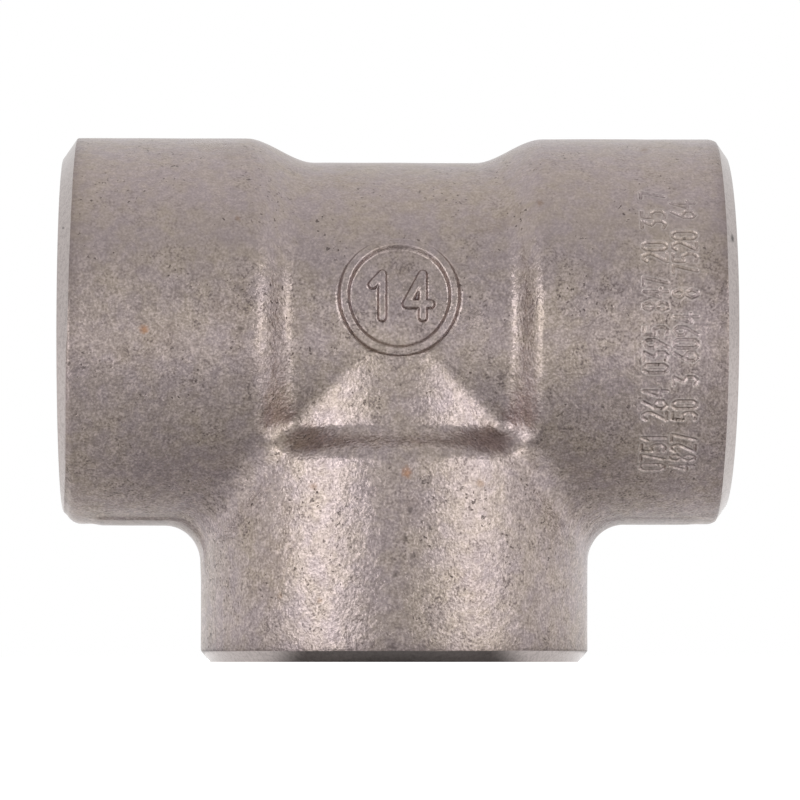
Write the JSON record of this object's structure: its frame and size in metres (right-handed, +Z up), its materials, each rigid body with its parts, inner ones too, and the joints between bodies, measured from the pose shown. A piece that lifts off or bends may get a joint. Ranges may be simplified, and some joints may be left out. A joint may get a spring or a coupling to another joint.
{
  "type": "threaded tee",
  "caption": "Forged stainless steel pipe tee with round bands over tapered threaded sockets, a sunk panel in the middle of the run and filleted crotches.",
  "frame": {"origin": "centre of the branch's end face, on the surface that the tee stands on", "axes": "+Z up along the branch to the run, +X along the run, -Y towards the side shown in the picture"},
  "size_m": [0.066, 0.0386, 0.0523],
  "materials": {
    "forged_steel": "pickled and blasted forging skin, turned end faces"
  },
  "bodies": {
    "root": {"tee_body": "forged_steel"}
  },
  "joints": []
}
